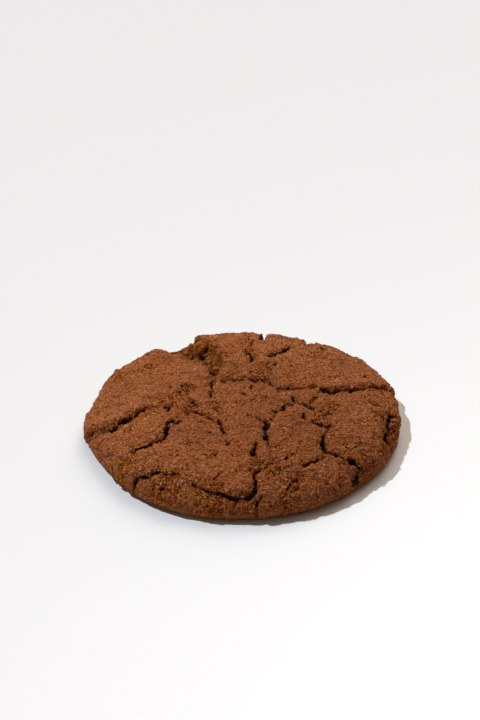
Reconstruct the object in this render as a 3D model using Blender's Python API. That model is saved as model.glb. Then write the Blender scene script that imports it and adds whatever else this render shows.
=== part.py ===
"""A coffee cookie: a ball of soft dough that spread flat in the oven, with a crackled top and a flat base."""

import math

import bmesh
import bpy
import numpy as np
from mathutils import Vector, noise

MM = 0.001

# The round that the dough spread to, in metres
RADIUS = 44.0 * MM
BASE_RADIUS = 42.3 * MM
WIDEST_HEIGHT = 3.8 * MM
TOP_HEIGHT = 11.4 * MM
CENTRE_SINK = 0.5 * MM
CENTRE_SINK_SPREAD = 0.35

# The top runs level and drops at a full shoulder, but at the back left it slopes down to a thin edge
SHOULDER_POWER = 5.0
SHOULDER_ROUND = 0.55
THIN_POWER = 2.3
THIN_ROUND = 0.80
THIN_EDGE_FROM = 117
THIN_EDGE_TO = 186
THIN_EDGE_BLEND = 7

# Where the outline stands out or falls in: direction in degrees, spread in degrees, amount
OUTLINE_SWELLS = (
    (50, 18, 0.8 * MM),
    (22, 16, 1.3 * MM),
    (90, 24, 0.4 * MM),
    (-40, 18, -0.7 * MM),
    (168, 14, -0.5 * MM),
    (-150, 18, -1.3 * MM),
    (-110, 20, 0.5 * MM),
)

# Plates that were pushed up, or sank, as the dough spread: x, y, spread, amount
PLATE_LIFTS = (
    (3 * MM, 30 * MM, 14 * MM, 0.4 * MM),
    (-30 * MM, 24 * MM, 10 * MM, 0.7 * MM),
    (27 * MM, -6 * MM, 10 * MM, 0.3 * MM),
    (-14 * MM, -22 * MM, 11 * MM, 0.4 * MM),
    (14 * MM, -15 * MM, 9 * MM, 0.4 * MM),
    (-12 * MM, 25 * MM, 6 * MM, -1.0 * MM),
)

# Cracks. The left of a route is on the left hand of someone who walks along it.
# width and depth are the opening's; roll is how far the plate rolls down into it, on the left where
# positive and on the right where negative; step is how much higher the left side stands.
# Everything is in millimetres, and each route holds only the turns that can be seen.
CRACKS = {
    "left_gash": dict(width=1.7, depth=3.4, roll=3.2, step=-0.5,
                      route=((-46, -9), (-40, -11), (-36.3, -12.3), (-32.6, -10.8), (-28.4, -6.6), (-24, -4.3))),
    "left_lower": dict(width=1.2, depth=2.2, roll=-1.5, step=0.6,
                       route=((-29, -26.5), (-26.6, -23), (-22.3, -20.7), (-20.5, -16), (-18, -12.8), (-15.6, -11))),
    "front_left": dict(width=1.2, depth=2.0, roll=0, step=0.9,
                       route=((-29, -36), (-27.8, -32.4), (-23, -32.8), (-20.5, -34), (-14.5, -35))),
    "front_ledge": dict(width=1.0, depth=1.4, roll=0, step=1.0,
                        route=((-18, -36.2), (-10.9, -38.8), (-5.9, -40.6), (-1, -42), (2.6, -42))),
    "front_valley": dict(width=1.5, depth=1.6, roll=0, step=0,
                         route=((2.3, -43), (4.1, -39), (4.4, -34), (9.9, -30), (14, -27.6))),
    "centre": dict(width=2.0, depth=2.4, roll=0, step=0,
                   route=((1.2, -9), (6.4, -11.6), (6.3, -20.6), (7.2, -24))),
    "hook": dict(width=1.3, depth=2.4, roll=1.5, step=0,
                 route=((8.6, -8), (12, -3.6), (18, -3.4), (20.5, 0.5), (23.8, 3.2))),
    "right_gash": dict(width=1.8, depth=3.4, roll=4.0, step=-0.4,
                       route=((22.6, 2.4), (27, 4), (34.1, 6.6), (40, 9.8), (46, 12))),
    "right_gash_edge": dict(width=1.0, depth=1.2, roll=0, step=0.8,
                            route=((-5, 9.6), (3.5, 9.2), (9.1, 6.2), (20.6, 4.8))),
    "back_valley": dict(width=4.6, depth=1.9, roll=0, step=1.8,
                        route=((-16.4, 46), (-13.8, 30), (-11.2, 18), (-8.8, 10), (-8.4, 2), (-8.6, -5))),
    "lower_valley": dict(width=1.4, depth=1.6, roll=0, step=0.4,
                         route=((-8.6, -4), (-7, -11), (-4.9, -17), (-3.8, -24.2))),
    "left_inner": dict(width=1.4, depth=1.4, roll=0, step=0, route=((-15.3, 1.6), (-11, -4.6))),
    "left_inner_edge": dict(width=1.1, depth=1.3, roll=0, step=0.5,
                            route=((-20, -7), (-15, -6), (-11, -7.2), (-7, -12.5))),
    "left_slit": dict(width=1.0, depth=1.2, roll=0, step=0, route=((-18.6, 5.2), (-15.8, 9))),
    "right_inner": dict(width=1.3, depth=2.5, roll=-1.2, step=0.4,
                        route=((16.8, -8.6), (18.5, -12.5), (23.6, -13.8), (22, -21), (24, -25.6), (31.5, -27.4))),
    "front_right": dict(width=1.0, depth=1.3, roll=0, step=0.5,
                        route=((11.5, -39), (14.1, -35.6), (16.6, -31.3), (22.6, -26.6))),
    "rim_split": dict(width=1.5, depth=2.2, roll=0, step=0, route=((31, -27.5), (30.3, -31.5), (28, -38))),
    "right_crevice": dict(width=1.3, depth=1.8, roll=0, step=0.8, route=((39, -16), (40.6, -9), (41, -2.6))),
    "right_slit": dict(width=1.0, depth=1.1, roll=0, step=0, route=((35.6, 0), (40.4, -4.6))),
    "back_notch": dict(width=1.6, depth=2.4, roll=0, step=0, route=((6.2, 47), (5.6, 38), (5, 31.5))),
    "back_inner": dict(width=1.1, depth=1.5, roll=0, step=0.3, route=((0, 25), (1.8, 28.6), (4.6, 32))),
    "back_centre": dict(width=1.0, depth=1.3, roll=0, step=0, route=((1.2, 24.6), (3.2, 18))),
    "back_slit": dict(width=1.2, depth=1.7, roll=0, step=0, route=((7.2, 21), (9.9, 23.9), (13.2, 27.2))),
    "back_right_notch": dict(width=1.3, depth=2.2, roll=0, step=-0.6, route=((19.6, 46), (19.6, 36), (19, 30))),
    "back_right_strip": dict(width=1.0, depth=1.2, roll=0, step=0, route=((19.6, 37), (26, 35.6), (31, 32))),
    "front_pit": dict(width=1.6, depth=2.0, roll=0, step=0, route=((3.7, -22.4), (2.7, -29))),
    "side_slit": dict(width=1.1, depth=1.3, roll=0, step=0, route=((6.6, -41), (4.4, -46))),
}
ROUTE_POINT_EVERY = 0.8
END_TAPER = 3.0
STEP_REACH = 7.0

# How torn dough departs from a clean cut: size and amount of the route's swings, of its ragged edges,
# and of the changes in its width, in millimetres
WANDER = ((5.0, 1.1), (1.9, 0.5))
RAGGED = ((1.6, 0.55), (0.8, 0.25))
UNEVEN = ((3.5, 0.6),)

# Shares of a crack's width at which its walls end and begin, and over which a step rises,
# and the share of its depth that the plate beside it rolls down
WALL_FOOT = 0.2
WALL_TOP = 0.75
STEP_SLOPE = 0.25
ROLL_SHARE = 0.42

# Relief of the baked surface: size of its lumps and how far they stand out, in millimetres
RELIEF = ((11.0, 0.55), (4.2, 0.45), (1.9, 0.34))
OUTLINE_RELIEF = ((9.0, 0.45), (3.0, 0.45))
OUTLINE_RELIEF_FROM = 0.8 * RADIUS
RELIEF_FADE = 1.6 * MM
LEAST_THICKNESS = 2.6 * MM

# The ball's facets, the angles from its top where the widest ring and the base ring lie,
# and the triangles that the finished cookie keeps
SPHERE_CUTS = 8
SHOULDER_ANGLE = math.radians(100)
BASE_ANGLE = math.radians(114)
TRIANGLES = 11800
BASE_SNAP = 0.02 * MM

CRUST_COLOUR = "8A5231"
CRUST_ROUGHNESS = 0.9
SHARP_ANGLE = math.radians(40)
NOISE_SHIFT = Vector((17.3, 5.1, 11.7))


def linear(hex_colour):
    """An sRGB hex colour as linear RGBA."""
    parts = [int(hex_colour[i:i + 2], 16) / 255 for i in (0, 2, 4)]
    return [p / 12.92 if p <= 0.04045 else ((p + 0.055) / 1.055) ** 2.4 for p in parts] + [1.0]


def smooth(low, high, values):
    """0 below low, 1 above high, and a soft rise between."""
    t = np.clip((values - low) / (high - low), 0, 1)
    return t * t * (3 - 2 * t)


def lumps(points, layers, seed):
    """Layered noise in metres at points in metres, from (size, amount) pairs in millimetres."""
    shift = seed * NOISE_SHIFT
    total = np.zeros(len(points))
    for size, amount in layers:
        scale = 1 / (size * MM)
        total += amount * MM * np.array([noise.noise(Vector(p) * scale + shift) for p in points])
    return total


def outline_radius(angle):
    """The cookie's radius in each direction."""
    degrees = np.degrees(angle)
    radius = np.full(len(angle), RADIUS)
    for direction, spread, amount in OUTLINE_SWELLS:
        turn = (degrees - direction + 180) % 360 - 180
        radius += amount * np.exp(-((turn / spread) ** 2))
    return radius


def thin_share(angle):
    """1 where the edge is thin, 0 where the shoulder is full."""
    degrees = np.degrees(angle) % 360
    rise = smooth(THIN_EDGE_FROM - THIN_EDGE_BLEND, THIN_EDGE_FROM + THIN_EDGE_BLEND, degrees)
    fall = smooth(THIN_EDGE_TO - THIN_EDGE_BLEND, THIN_EDGE_TO + THIN_EDGE_BLEND, degrees)
    return rise * (1 - fall)


def spread_dough(ball):
    """Where each point of a unit ball of dough comes to lie once it has spread."""
    polar = np.arccos(np.clip(ball[:, 2], -1, 1))
    angle = np.arctan2(ball[:, 1], ball[:, 0])
    radius = outline_radius(angle)
    thin = thin_share(angle)
    power = SHOULDER_POWER + (THIN_POWER - SHOULDER_POWER) * thin
    rounding = SHOULDER_ROUND + (THIN_ROUND - SHOULDER_ROUND) * thin

    u = np.clip(polar / SHOULDER_ANGLE, 0, 1)
    share = 0.5 * u + 0.5 * np.sin(u * math.pi / 2)
    top = WIDEST_HEIGHT + (TOP_HEIGHT - WIDEST_HEIGHT) * (1 - share ** power) ** rounding
    top -= CENTRE_SINK * np.exp(-((share / CENTRE_SINK_SPREAD) ** 2))

    k = np.clip((polar - SHOULDER_ANGLE) / (BASE_ANGLE - SHOULDER_ANGLE), 0, 1) * math.pi / 2
    base_radius = radius * BASE_RADIUS / RADIUS
    side_radius = base_radius + (radius - base_radius) * np.cos(k)
    side_height = WIDEST_HEIGHT * (1 - np.sin(k))

    under = np.clip((1 + np.cos(polar)) / (1 + math.cos(BASE_ANGLE)), 0, 1)
    flat_radius = base_radius * np.sqrt(under)

    on_top = polar <= SHOULDER_ANGLE
    on_side = (polar > SHOULDER_ANGLE) & (polar <= BASE_ANGLE)
    out = np.where(on_top, radius * share, np.where(on_side, side_radius, flat_radius))
    height = np.where(on_top, top, np.where(on_side, side_height, 0))
    return np.stack([out * np.cos(angle), out * np.sin(angle), height], axis=-1)


def torn_route(corners, seed):
    """A crack's corners as close points, in metres, swung from side to side as torn dough is."""
    corners = np.array(corners, float)
    points = [corners[0]]
    for start, end in zip(corners, corners[1:]):
        count = max(1, round(float(np.hypot(*(end - start))) / ROUTE_POINT_EVERY))
        points += [start + (end - start) * i / count for i in range(1, count + 1)]
    for i, point in enumerate(points):
        for length, amount in WANDER:
            swing = noise.noise_vector(Vector((point[0], point[1], 0)) / length + seed * NOISE_SHIFT)
            point = point + amount * np.array([swing.x, swing.y])
        points[i] = point
    return np.array(points) * MM


def across(flat, route):
    """Each point's distance from a route, its side (+1 left, -1 right) and its distance to the nearer end."""
    steps = np.diff(route, axis=0)
    lengths = np.hypot(steps[:, 0], steps[:, 1])
    starts = np.concatenate([[0], np.cumsum(lengths)])
    nearest = np.full(len(flat), np.inf)
    side = np.ones(len(flat))
    along = np.zeros(len(flat))
    for start, step, length, done in zip(route, steps, lengths, starts):
        t = np.clip((flat - start) @ step / length ** 2, 0, 1)
        away = flat - start - t[:, None] * step
        gap = np.hypot(away[:, 0], away[:, 1])
        closer = gap < nearest
        nearest[closer] = gap[closer]
        side[closer] = np.where(step[0] * away[:, 1] >= step[1] * away[:, 0], 1, -1)[closer]
        along[closer] = (done + t * length)[closer]
    return nearest, side, np.minimum(along, starts[-1] - along)


def crack_relief(flat):
    """How far the cracks lower or lift the surface at each point, in metres."""
    cut = np.zeros(len(flat))
    lift = np.zeros(len(flat))
    level = np.column_stack([flat, np.zeros(len(flat))])
    ragged = lumps(level, RAGGED, 3)
    uneven = 1 + lumps(level, UNEVEN, 4) / MM
    for seed, crack in enumerate(CRACKS.values(), start=1):
        gap, side, to_end = across(flat, torn_route(crack["route"], seed))
        gap = np.abs(gap + ragged)
        width = crack["width"] * uneven * MM
        taper = np.sqrt(np.clip(to_end / (END_TAPER * MM), 0, 1))
        opening = 1 - smooth(WALL_FOOT * width, WALL_TOP * width, gap)
        lowered = crack["depth"] * MM * opening * taper
        if crack["roll"]:
            reach = abs(crack["roll"]) * MM
            rolls = side * math.copysign(1, crack["roll"]) > 0
            bend = np.clip(1 - gap / (reach + width / 2), 0, 1) ** 2
            rolled = ROLL_SHARE * crack["depth"] * MM * bend * taper
            lowered = np.maximum(lowered, np.where(rolls, rolled, 0))
        cut = np.maximum(cut, lowered)
        hold = 1 - smooth(0, STEP_REACH * MM, gap)
        lift += 0.5 * crack["step"] * MM * side * np.tanh(gap / (STEP_SLOPE * width)) * hold * taper
    return lift - cut


def plate_lift(flat):
    """How far whole plates stand above or below the plain round."""
    total = np.zeros(len(flat))
    for x, y, spread, amount in PLATE_LIFTS:
        away = np.hypot(flat[:, 0] - x, flat[:, 1] - y)
        total += amount * np.exp(-((away / spread) ** 2))
    return total


def bake(mesh):
    """Shapes a unit ball into the cookie."""
    count = len(mesh.vertices)
    ball = np.empty(count * 3, np.float32)
    mesh.vertices.foreach_get("co", ball)
    ball = ball.reshape(-1, 3).astype(float)
    ball /= np.linalg.norm(ball, axis=1)[:, None]
    plain = spread_dough(ball)
    mesh.vertices.foreach_set("co", plain.astype(np.float32).ravel())
    mesh.update()
    normals = np.empty(count * 3, np.float32)
    mesh.vertex_normals.foreach_get("vector", normals)
    normals = normals.reshape(-1, 3)

    flat = plain[:, :2]
    free = smooth(0, 1, plain[:, 2] / RELIEF_FADE)
    rise = (lumps(plain, RELIEF, 1) + crack_relief(flat) + plate_lift(flat)) * free
    rise = np.maximum(rise, LEAST_THICKNESS - np.maximum(plain[:, 2], LEAST_THICKNESS))
    shaped = plain + normals * rise[:, None]

    outward = flat / np.maximum(np.hypot(flat[:, 0], flat[:, 1]), MM)[:, None]
    edge = smooth(OUTLINE_RELIEF_FROM, RADIUS, np.hypot(flat[:, 0], flat[:, 1]))
    swell = lumps(np.column_stack([flat, np.zeros(count)]), OUTLINE_RELIEF, 2) * edge
    shaped[:, :2] += outward * swell[:, None]
    shaped[:, 2] = np.maximum(shaped[:, 2], 0)
    mesh.vertices.foreach_set("co", shaped.astype(np.float32).ravel())
    mesh.update()


def crust_material():
    material = bpy.data.materials.new("baked_crust")
    material.use_nodes = True
    shader = material.node_tree.nodes["Principled BSDF"]
    shader.inputs["Base Color"].default_value = linear(CRUST_COLOUR)
    shader.inputs["Roughness"].default_value = CRUST_ROUGHNESS
    shader.inputs["Metallic"].default_value = 0.0
    return material


def thinned(cookie):
    """The cookie's mesh with its triangles spent where the surface bends, standing centred on its base."""
    fewer = cookie.modifiers.new("fewer", "DECIMATE")
    fewer.ratio = TRIANGLES / len(cookie.data.polygons)
    graph = bpy.context.evaluated_depsgraph_get()
    mesh = bpy.data.meshes.new_from_object(cookie.evaluated_get(graph))
    cookie.modifiers.remove(fewer)
    points = np.array([v.co for v in mesh.vertices])
    middle = (points[:, :2].min(axis=0) + points[:, :2].max(axis=0)) / 2
    for vertex in mesh.vertices:
        vertex.co.x -= middle[0]
        vertex.co.y -= middle[1]
        if vertex.co.z < BASE_SNAP:
            vertex.co.z = 0
    return mesh


def make_cookie(collection):
    ball = bmesh.new()
    bmesh.ops.create_icosphere(ball, subdivisions=SPHERE_CUTS, radius=1)
    mesh = bpy.data.meshes.new("cookie")
    ball.to_mesh(mesh)
    ball.free()
    bake(mesh)
    cookie = bpy.data.objects.new("cookie", mesh)
    collection.objects.link(cookie)
    cookie.data = thinned(cookie)
    bpy.data.meshes.remove(mesh)
    cookie.data.name = "cookie"
    cookie.data.materials.append(crust_material())
    cookie.data.shade_smooth()
    cookie.data.set_sharp_from_angle(angle=SHARP_ANGLE)


def main():
    for obj in list(bpy.data.objects):
        bpy.data.objects.remove(obj)
    collection = bpy.data.collections.new("coffee_cookie")
    bpy.context.scene.collection.children.link(collection)
    make_cookie(collection)


main()
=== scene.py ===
import math
from functools import partial

import bpy
from mathutils import Matrix, Vector


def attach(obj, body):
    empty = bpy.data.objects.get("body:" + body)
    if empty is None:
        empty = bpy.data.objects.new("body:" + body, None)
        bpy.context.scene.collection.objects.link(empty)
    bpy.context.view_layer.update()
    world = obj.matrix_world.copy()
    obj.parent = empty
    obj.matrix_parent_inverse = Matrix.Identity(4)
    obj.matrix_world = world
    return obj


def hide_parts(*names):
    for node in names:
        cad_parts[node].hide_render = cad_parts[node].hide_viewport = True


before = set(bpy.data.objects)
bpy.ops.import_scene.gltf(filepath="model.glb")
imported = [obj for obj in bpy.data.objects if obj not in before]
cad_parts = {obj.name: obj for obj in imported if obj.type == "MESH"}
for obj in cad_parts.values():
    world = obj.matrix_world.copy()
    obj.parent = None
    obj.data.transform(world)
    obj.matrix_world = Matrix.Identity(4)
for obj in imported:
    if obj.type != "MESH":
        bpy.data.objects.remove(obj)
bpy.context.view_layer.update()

mm = 0.001


# helpers

def addNode(tree, kind, *inputs, out=0, **settings):
    # One node of a kind, or of a kind and its operation after a dot. Capitals alone are an operation of the
    # Math node. Its inputs come in order, or in one dictionary by name or by place: a socket is linked, and
    # anything else is a value.
    if kind.isupper():
        kind = "Math." + kind
    kind, dot, operation = kind.partition(".")
    if dot:
        kind = "ShaderNode" + kind
        settings["operation"] = operation
    node = tree.nodes.new(kind)
    for name, value in settings.items():
        setattr(node, name, value)
    given = inputs[0] if inputs and isinstance(inputs[0], dict) else dict(enumerate(inputs))
    for key, value in given.items():
        if isinstance(value, bpy.types.NodeSocket):
            tree.links.new(value, node.inputs[key])
        elif value is not None:
            node.inputs[key].default_value = value
    return node if out is None else node.outputs[out]


def newTree(name, sizes, objects=()):
    # an empty geometry tree, with an input for each object and for each size whose name has a capital
    tree = bpy.data.node_groups.new(name, "GeometryNodeTree")
    tree.interface.new_socket("Geometry", in_out="OUTPUT", socket_type="NodeSocketGeometry")
    for label in objects:
        tree.interface.new_socket(label, in_out="INPUT", socket_type="NodeSocketObject")
    for label, value in sizes.items():
        if label[0].isupper():
            kind = "NodeSocketInt" if isinstance(value, int) else "NodeSocketFloat"
            tree.interface.new_socket(label, in_out="INPUT", socket_type=kind).default_value = value
    given = tree.nodes.new("NodeGroupInput")
    return tree, {socket.name: socket for socket in given.outputs if socket.name}


def finishTree(tree, geometry, material):
    whole = addNode(tree, "GeometryNodeRealizeInstances", geometry)
    coated = addNode(tree, "GeometryNodeSetMaterial", {"Geometry": whole, "Material": material})
    addNode(tree, "NodeGroupOutput", coated, out=None)


def growPiece(name, tree, sizes):
    # runs a tree on an empty mesh and keeps what it makes as a plain mesh
    helper = bpy.data.objects.new(name + "Helper", bpy.data.meshes.new(name + "Helper"))
    bpy.context.scene.collection.objects.link(helper)
    modifier = helper.modifiers.new("tree", "NODES")
    modifier.node_group = tree
    for item in tree.interface.items_tree:
        if item.in_out == "INPUT":
            modifier[item.identifier] = sizes[item.name]
    graph = bpy.context.evaluated_depsgraph_get()
    mesh = bpy.data.meshes.new_from_object(helper.evaluated_get(graph))
    helper.modifiers.clear()
    bpy.data.objects.remove(helper)
    piece = bpy.data.objects.new(name, mesh)
    mesh.name = name
    bpy.context.scene.collection.objects.link(piece)
    return piece


def linearColour(hexColour):
    parts = [int(hexColour[i:i + 2], 16) / 255 for i in (0, 2, 4)]
    return [p / 12.92 if p <= 0.04045 else ((p + 0.055) / 1.055) ** 2.4 for p in parts] + [1.0]


def inMetres(rows):
    return [[value * mm for value in row] for row in rows]


# camera: found from the cookie's outline in the photograph, 480 x 720

view = {
    "lens": 100.0,
    "sensor": 36.0,
    "framePixels": 720,          # the long side, which the sensor's width covers
    "elevation": 32.70,
    "distance": 0.5557,
    "target": (0, 0, 4 * mm),
    "targetRightPixels": 2.7,    # where the target lies from the middle of the frame
    "targetDownPixels": 58.5,
}


def makeCamera(v):
    data = bpy.data.cameras.new("camera")
    data.lens = v["lens"]
    data.sensor_width = v["sensor"]
    camera = bpy.data.objects.new("camera", data)
    bpy.context.scene.collection.objects.link(camera)
    rise = math.radians(v["elevation"])
    focal = v["lens"] / v["sensor"] * v["framePixels"]
    back = Vector((0, -math.cos(rise), math.sin(rise)))
    tilt = math.pi / 2 - rise + math.atan(v["targetDownPixels"] / focal)
    yaw = math.atan(v["targetRightPixels"] / focal)
    turn = Matrix.Rotation(tilt, 4, "X") @ Matrix.Rotation(yaw, 4, "Y")
    camera.matrix_world = Matrix.Translation(Vector(v["target"]) + back * v["distance"]) @ turn
    bpy.context.scene.camera = camera


makeCamera(view)
print("camera placed")


# light: a high key from the left, a broad soft window behind, and a dim room in front

light = {
    "keyAzimuth": 157,           # where it comes from, in degrees from +X
    "keyElevation": 55,
    "keySoftness": 1.2,          # its width in the sky, in degrees
    "keyStrength": 2.95,
    "keyColour": "EAF5FF",
    "fillAzimuth": 70,
    "fillElevation": 42,
    "fillFall": 14,              # the higher, the narrower the window
    "fillStrength": 5.6,
    "fillColour": "FFF1E4",
    "roomColour": "2C2722",      # the rest of the room, as a share of the window
}


def directionOf(azimuth, elevation):
    around, up = math.radians(azimuth), math.radians(elevation)
    return Vector((math.cos(around) * math.cos(up), math.sin(around) * math.cos(up), math.sin(up)))


def makeLight(s):
    sun = bpy.data.lights.new("key", "SUN")
    sun.energy = s["keyStrength"]
    sun.angle = math.radians(s["keySoftness"])
    sun.color = linearColour(s["keyColour"])[:3]
    key = bpy.data.objects.new("key", sun)
    towards = directionOf(s["keyAzimuth"], s["keyElevation"])
    key.rotation_euler = towards.to_track_quat("Z", "Y").to_euler()
    bpy.context.scene.collection.objects.link(key)
    world = bpy.data.worlds.new("room")
    world.use_nodes = True
    tree = world.node_tree
    background = tree.nodes["Background"]
    outwards = addNode(tree, "ShaderNodeTexCoord", out="Generated")
    window = directionOf(s["fillAzimuth"], s["fillElevation"])
    facing = addNode(tree, "VectorMath.DOT_PRODUCT", outwards, window, out="Value")
    facing = addNode(tree, "MAXIMUM", facing, 0.0)
    share = addNode(tree, "POWER", facing, s["fillFall"])
    room, fill = linearColour(s["roomColour"]), linearColour(s["fillColour"])
    # input 0 of a Mix is the share, and 6 and 7 are its two colours
    glow = addNode(tree, "ShaderNodeMix", {0: share, 6: room, 7: fill}, out=2, data_type="RGBA")
    tree.links.new(glow, background.inputs["Color"])
    background.inputs["Strength"].default_value = s["fillStrength"]
    bpy.context.scene.world = world
    bpy.context.scene.view_settings.view_transform = "Standard"


makeLight(light)
print("light set")


# materials

crust = {
    "skin": "9E5F3F",            # unbroken skin, dry and slightly mauve
    "crumb": "944D10",           # where the skin is broken, moister and more orange
    "bakedAndShaded": "7A3F17",           # where it baked longer, and painted shade over the middle
    "pale": "C28E5C",            # flour and sugar grains near the surface
    "hollow": "280E05",          # painted shade deep in the cracks, and the dark specks
    "paintedShadeCentre": (12 * mm, -14 * mm, 8 * mm),   # painted shade: darker round the middle and the right
    "patch": 9 * mm,
    "mottle": 0.9 * mm,
    "grain": 0.50 * mm,
    "pore": 0.26 * mm,
    "crumbs": 0.65 * mm,
    # how much each pattern shows: its value from, its value to, what shows at the first, what at the last
    "mottleBreaks": (0.38, 0.58, 0.0, 1.0),
    "patchBakes": (0.48, 0.72, 0.0, 0.45),
    # painted shade round the middle and the right
    "middlePaintedShade": (11.4 * mm, 38 * mm, 0.55, 0.0),
    "grainPales": (0.88, 1.0, 0.0, 0.45),
    "grainDarkens": (0.94, 1.0, 0.0, 0.5),
    # painted shade in the cracks, read from the cookie's painted shade attribute
    "paintedShadeDarkens": (0.12, 0.7, 0.0, 0.97),
    "level": (0.32, 0.68, -0.48, 0.44),
    "levelOnSkin": 0.8,
    "levelOnCrumb": 0.7,         # what the crumb adds to that
    "greenPower": 1.7,
    "bluePower": 2.8,
    "bump": 0.45 * mm,
    "roughness": 0.8,
    "shine": 0.12,
}


def bakedCrust(c):
    # Baked dough: dry flour, sugar and fat. Matt and grainy, with pale and dark specks under a millimetre
    # wide. The real pores are finer than the render can show, so these are a quarter of a millimetre.
    material = bpy.data.materials.new("bakedCrust")
    material.use_nodes = True
    tree = material.node_tree
    tree.nodes.clear()
    node = partial(addNode, tree)
    ofColours = {"out": 2, "data_type": "RGBA"}
    place = node("ShaderNodeTexCoord", out="Object")
    torn = node("ShaderNodeAttribute", out="Fac", attribute_name="torn")
    gloom = node("ShaderNodeAttribute", out="Fac", attribute_name="gloom")
    noise = {}
    for length, detail in (("mottle", 3.0), ("patch", 3.0), ("grain", 2.0), ("pore", 3.0)):
        settings = {"Vector": place, "Scale": 1 / c[length], "Detail": detail}
        noise[length] = node("ShaderNodeTexNoise", settings)

    # skin, crumb where it is broken, browner patches, painted shade over the middle and the right, then pale
    # and dark specks
    broken = node("MAXIMUM", node("ShaderNodeMapRange", noise["mottle"], *c["mottleBreaks"]), torn)
    apart = node("VectorMath.DISTANCE", place, c["paintedShadeCentre"], out="Value")
    cells = node("ShaderNodeTexVoronoi", {"Vector": place, "Scale": 1 / c["grain"]}, out="Color")
    pick = node("ShaderNodeSeparateColor", cells, out=None)
    layers = (
        ("crumb", broken),
        ("bakedAndShaded", node("ShaderNodeMapRange", noise["patch"], *c["patchBakes"])),
        ("bakedAndShaded", node("ShaderNodeMapRange", apart, *c["middlePaintedShade"])),
        ("pale", node("ShaderNodeMapRange", pick.outputs[0], *c["grainPales"])),
        ("hollow", node("ShaderNodeMapRange", pick.outputs[1], *c["grainDarkens"])),
    )
    colour = linearColour(c["skin"])
    for name, share in layers:
        colour = node("ShaderNodeMix", {0: share, 6: colour, 7: linearColour(c[name])}, **ofColours)

    # fat and sugar darken the crumb to a deeper orange, flour pales it: green and blue change more than red
    level = node("ShaderNodeMapRange", noise["grain"], *c["level"])
    level = node("MULTIPLY_ADD", level, node("MULTIPLY_ADD", torn, c["levelOnCrumb"], c["levelOnSkin"]), 1.0)
    green = node("POWER", level, c["greenPower"])
    blue = node("POWER", level, c["bluePower"])
    tint = node("ShaderNodeCombineColor", level, green, blue)
    colour = node("ShaderNodeMix", {0: 1.0, 6: colour, 7: tint}, blend_type="MULTIPLY", **ofColours)
    # painted shade: the depth of each crack darkens the colour towards the hollow colour
    deep = node("ShaderNodeMapRange", gloom, *c["paintedShadeDarkens"])
    colour = node("ShaderNodeMix", {0: deep, 6: colour, 7: linearColour(c["hollow"])}, **ofColours)

    crumbs = node("ShaderNodeTexVoronoi", {"Vector": place, "Scale": 1 / c["crumbs"]})
    height = node("MULTIPLY_ADD", crumbs, -1.0, noise["pore"])
    bump = node("ShaderNodeBump", {"Strength": 1.0, "Distance": c["bump"], "Height": height})
    shader = node("ShaderNodeBsdfPrincipled", {"Base Color": colour, "Roughness": c["roughness"],
                                               "Specular IOR Level": c["shine"], "Normal": bump})
    node("ShaderNodeOutputMaterial", {"Surface": shader}, out=None)
    return material


board = {
    "far": "D6D6D6",
    "near": "EDEDED",
    "paintedLightCentre": (0.20, -0.20, 0),   # centre of the painted pool of light, in metres, near and to the right
    "brightTo": 0.19,
    "fallOff": 0.13,
    "roughness": 0.9,
    "shine": 0.1,
}


def paleFloor(b):
    # Painted board under a studio light: matt and nearly white, with a paler pool of painted light near the
    # front and to the right.
    material = bpy.data.materials.new("paintedBoard")
    material.use_nodes = True
    tree = material.node_tree
    shader = tree.nodes["Principled BSDF"]
    place = addNode(tree, "ShaderNodeTexCoord", out="Object")
    apart = addNode(tree, "VectorMath.DISTANCE", place, b["paintedLightCentre"], out="Value")
    beyond = addNode(tree, "SUBTRACT", b["brightTo"], apart)
    share = addNode(tree, "EXPONENT", addNode(tree, "DIVIDE", beyond, b["fallOff"]))
    far, near = linearColour(b["far"]), linearColour(b["near"])
    paint = addNode(tree, "ShaderNodeMix", {0: share, 6: far, 7: near}, out=2, data_type="RGBA")
    tree.links.new(paint, shader.inputs["Base Color"])
    shader.inputs["Roughness"].default_value = b["roughness"]
    shader.inputs["Specular IOR Level"].default_value = b["shine"]
    return material


# the cookie: a block of dough spread to a round, cracked, and roughened with crumb

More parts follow.
